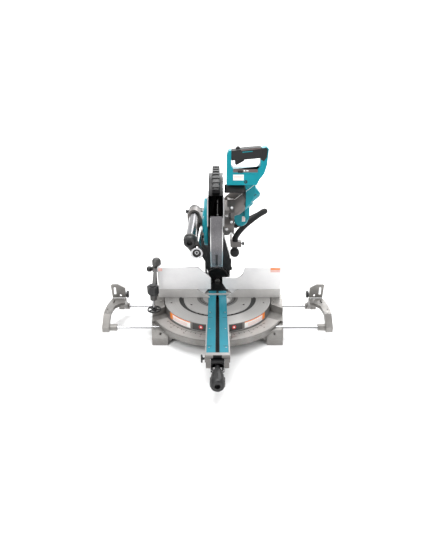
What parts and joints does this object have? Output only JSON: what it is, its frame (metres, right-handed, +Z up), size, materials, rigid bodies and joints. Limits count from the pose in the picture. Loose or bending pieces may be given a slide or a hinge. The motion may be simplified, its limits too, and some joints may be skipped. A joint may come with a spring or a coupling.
{
  "type": "sliding compound mitre saw",
  "caption": "Bench mitre saw with a sliding, tilting blade head, a turntable with slotted kerf boards, sliding fences, a hold-down vise and pull-out side extensions.",
  "frame": {"origin": "on the floor, at the centre of the bounding box's base; the fence's face is at Y = +0.112", "axes": "+Z up, +X to the operator's right, +Y away from the operator, across the fence"},
  "size_m": [0.88, 0.824, 0.725],
  "materials": {
    "black_paint": "satin black enamel",
    "black_plastic": "fine matt grain",
    "cast_grey": "cast, clear-lacquered",
    "chrome": "polished",
    "machined_silver": "machined and satin",
    "rubber": "soft moulded",
    "smoke": "smoked, semi-gloss",
    "steel": "ground",
    "teal_plastic": "moulded, semi-matt"
  },
  "bodies": {
    "base": {"base_casting": "cast_grey", "mitre_scale_plate": "machined_silver", "pivot_bolt": "steel", "lower_fence": "machined_silver", "vise_rod": "black_paint"},
    "turntable": {"turntable": "cast_grey", "kerf_board_left": "teal_plastic", "kerf_board_right": "teal_plastic", "mitre_pointer": "steel", "bevel_pivot_shaft": "steel"},
    "mitre_grip": {"mitre_grip": "black_plastic"},
    "detent_lever": {"detent_lever": "black_plastic"},
    "side_thumb_screw": {"side_thumb_screw": "black_plastic"},
    "bevel_arm": {"bevel_arm": "black_paint", "rail_upper": "chrome", "rail_lower": "chrome", "rail_bracket": "black_plastic"},
    "bevel_lock_knob": {"bevel_lock_knob": "black_plastic"},
    "bevel_release_lever": {"bevel_release_lever": "black_plastic"},
    "carriage": {"carriage": "cast_grey", "head_pivot_shaft": "steel", "dust_boot": "rubber", "dust_hose": "rubber"},
    "stopper_pin": {"stopper_pin": "black_plastic"},
    "slide_lock_screw": {"slide_lock_screw": "black_plastic"},
    "head": {"gear_housing": "cast_grey", "blade_case": "cast_grey", "case_top_cover": "black_plastic", "side_cover": "teal_plastic", "motor_housing": "teal_plastic", "handle_housing": "teal_plastic", "handle_grip": "rubber", "carry_grip": "rubber"},
    "trigger": {"trigger": "black_plastic"},
    "lock_off_button": {"lock_off_button": "black_plastic"},
    "light_switch": {"light_switch": "black_plastic"},
    "lower_guard": {"lower_guard": "smoke"},
    "blade_set": {"saw_blade": "steel", "outer_flange": "steel", "arbor_shaft": "steel", "arbor_bolt": "steel"},
    "sub_fence_left": {"sub_fence_left": "machined_silver"},
    "sub_fence_right": {"sub_fence_right": "machined_silver"},
    "fence_clamp_left": {"fence_clamp_left": "black_plastic"},
    "fence_clamp_right": {"fence_clamp_right": "black_plastic"},
    "extension_left": {"extension_holder_left": "cast_grey", "guide_rod_front_left": "chrome", "guide_rod_rear_left": "chrome"},
    "extension_right": {"extension_holder_right": "cast_grey", "guide_rod_front_right": "chrome", "guide_rod_rear_right": "chrome"},
    "stop_plate_left": {"stop_plate_left": "cast_grey"},
    "stop_plate_right": {"stop_plate_right": "cast_grey"},
    "stop_knob_left": {"stop_knob_left": "black_plastic"},
    "stop_knob_right": {"stop_knob_right": "black_plastic"},
    "vise_arm": {"vise_arm": "machined_silver", "vise_top_knob": "black_plastic"},
    "vise_thumb_screw": {"vise_thumb_screw": "black_plastic"},
    "vise_pad": {"vise_pad": "black_plastic"},
    "vise_screw": {"vise_screw": "black_plastic"}
  },
  "joints": [
    {"name": "mitre_turn", "type": "hinge", "parent": "base", "child": "turntable", "pos_m": [0, 0.112, 0], "axis": [0, 0, -1], "range_deg": [-60, 47]},
    {"name": "mitre_grip_turn", "type": "hinge", "parent": "turntable", "child": "mitre_grip", "pos_m": [0, -0.368, 0.06], "axis": [0, -1, 0], "range_deg": [0, 90]},
    {"name": "detent_press", "type": "hinge", "parent": "turntable", "child": "detent_lever", "pos_m": [0, -0.284, 0.074], "axis": [1, 0, 0], "range_deg": [0, 6], "stiffness_Nm_per_rad": 3},
    {"name": "side_screw_turn", "type": "hinge", "parent": "turntable", "child": "side_thumb_screw", "pos_m": [-0.055, -0.2885, 0.077], "axis": [1, 0, 0], "range_deg": [0, 90]},
    {"name": "bevel_tilt", "type": "hinge", "parent": "turntable", "child": "bevel_arm", "pos_m": [0, 0.312, 0.095], "axis": [0, -1, 0], "range_deg": [-33.9, 33.9]},
    {"name": "bevel_lock_turn", "type": "hinge", "parent": "bevel_arm", "child": "bevel_lock_knob", "pos_m": [-0.095, -0.086, 0.413], "axis": [0, -1, 0], "range_deg": [0, 90]},
    {"name": "bevel_release_swing", "type": "hinge", "parent": "bevel_arm", "child": "bevel_release_lever", "pos_m": [0.0605, 0.335, 0.128], "axis": [1, 0, 0], "range_deg": [0, 15]},
    {"name": "head_slide", "type": "slide", "parent": "bevel_arm", "child": "carriage", "axis": [0, -1, 0], "range_m": [0, 0.26]},
    {"name": "stopper_pin_pull", "type": "slide", "parent": "carriage", "child": "stopper_pin", "axis": [1, 0, 0], "range_m": [0, 0.008]},
    {"name": "slide_lock_turn", "type": "hinge", "parent": "carriage", "child": "slide_lock_screw", "pos_m": [-0.125, 0.234, 0.425], "axis": [1, 0, 0], "range_deg": [0, 90]},
    {"name": "head_pivot", "type": "hinge", "parent": "carriage", "child": "head", "pos_m": [0, 0.287, 0.335], "axis": [1, 0, 0], "range_deg": [0, 46.9], "stiffness_Nm_per_rad": 20, "springref_deg": -114.59},
    {"name": "lower_guard_swing", "type": "hinge", "parent": "head", "child": "lower_guard", "pos_m": [0, 0.052, 0.44], "axis": [1, 0, 0], "range_deg": [0, 160.1]},
    {"name": "blade_spin", "type": "hinge", "parent": "head", "child": "blade_set", "pos_m": [0, 0.052, 0.44], "axis": [1, 0, 0], "continuous": true},
    {"name": "trigger_squeeze", "type": "slide", "parent": "head", "child": "trigger", "axis": [0, 0, 1], "range_m": [0, 0.006], "stiffness_N_per_m": 400},
    {"name": "lock_off_press", "type": "slide", "parent": "head", "child": "lock_off_button", "axis": [0, 0, -1], "range_m": [0, 0.004], "stiffness_N_per_m": 400},
    {"name": "light_switch_press", "type": "slide", "parent": "head", "child": "light_switch", "axis": [0, 1, 0], "range_m": [0, 0.0015], "stiffness_N_per_m": 400},
    {"name": "sub_fence_left_slide", "type": "slide", "parent": "base", "child": "sub_fence_left", "axis": [-1, 0, 0], "range_m": [-0.012, 0]},
    {"name": "sub_fence_right_slide", "type": "slide", "parent": "base", "child": "sub_fence_right", "axis": [-1, 0, 0], "range_m": [-0.1, 0]},
    {"name": "fence_clamp_left_turn", "type": "hinge", "parent": "base", "child": "fence_clamp_left", "pos_m": [-0.215, 0.146, 0.115], "axis": [0, 1, 0], "range_deg": [0, 90]},
    {"name": "fence_clamp_right_turn", "type": "hinge", "parent": "base", "child": "fence_clamp_right", "pos_m": [0.215, 0.146, 0.115], "axis": [0, 1, 0], "range_deg": [0, 90]},
    {"name": "extension_left_slide", "type": "slide", "parent": "base", "child": "extension_left", "axis": [-1, 0, 0], "range_m": [-0.096, 0.03]},
    {"name": "extension_right_slide", "type": "slide", "parent": "base", "child": "extension_right", "axis": [-1, 0, 0], "range_m": [-0.03, 0.096]},
    {"name": "stop_plate_left_fold", "type": "hinge", "parent": "extension_left", "child": "stop_plate_left", "pos_m": [-0.404, 0.112, 0.098], "axis": [-1, 0, 0], "range_deg": [0, 90]},
    {"name": "stop_knob_left_turn", "type": "hinge", "parent": "extension_left", "child": "stop_knob_left", "pos_m": [-0.368, 0.112, 0.11], "axis": [1, 0, 0], "range_deg": [0, 90]},
    {"name": "stop_plate_right_fold", "type": "hinge", "parent": "extension_right", "child": "stop_plate_right", "pos_m": [0.404, 0.112, 0.098], "axis": [-1, 0, 0], "range_deg": [0, 90]},
    {"name": "stop_knob_right_turn", "type": "hinge", "parent": "extension_right", "child": "stop_knob_right", "pos_m": [0.368, 0.112, 0.11], "axis": [1, 0, 0], "range_deg": [0, 90]},
    {"name": "vise_swing", "type": "hinge", "parent": "base", "child": "vise_arm", "pos_m": [-0.252, 0.132, 0.2], "axis": [0, 0, -1], "range_deg": [0, 60]},
    {"name": "vise_clamp_turn", "type": "hinge", "parent": "vise_arm", "child": "vise_thumb_screw", "pos_m": [-0.27, 0.132, 0.2145], "axis": [1, 0, 0], "range_deg": [0, 90]},
    {"name": "vise_pad_lift", "type": "slide", "parent": "vise_arm", "child": "vise_pad", "axis": [0, 0, 1], "range_m": [0, 0.0121]},
    {"name": "vise_screw_turn", "type": "hinge", "parent": "vise_pad", "child": "vise_screw", "pos_m": [-0.246, 0.007, 0.18], "axis": [0, 0, 1], "range_deg": [0, 1440]}
  ],
  "couplings": [
    {"joint": "lower_guard_swing", "follows": "head_pivot", "ratio": 3.4115},
    {"joint": "vise_pad_lift", "follows": "vise_screw_turn", "m_per_rad": 0.00047746}
  ]
}
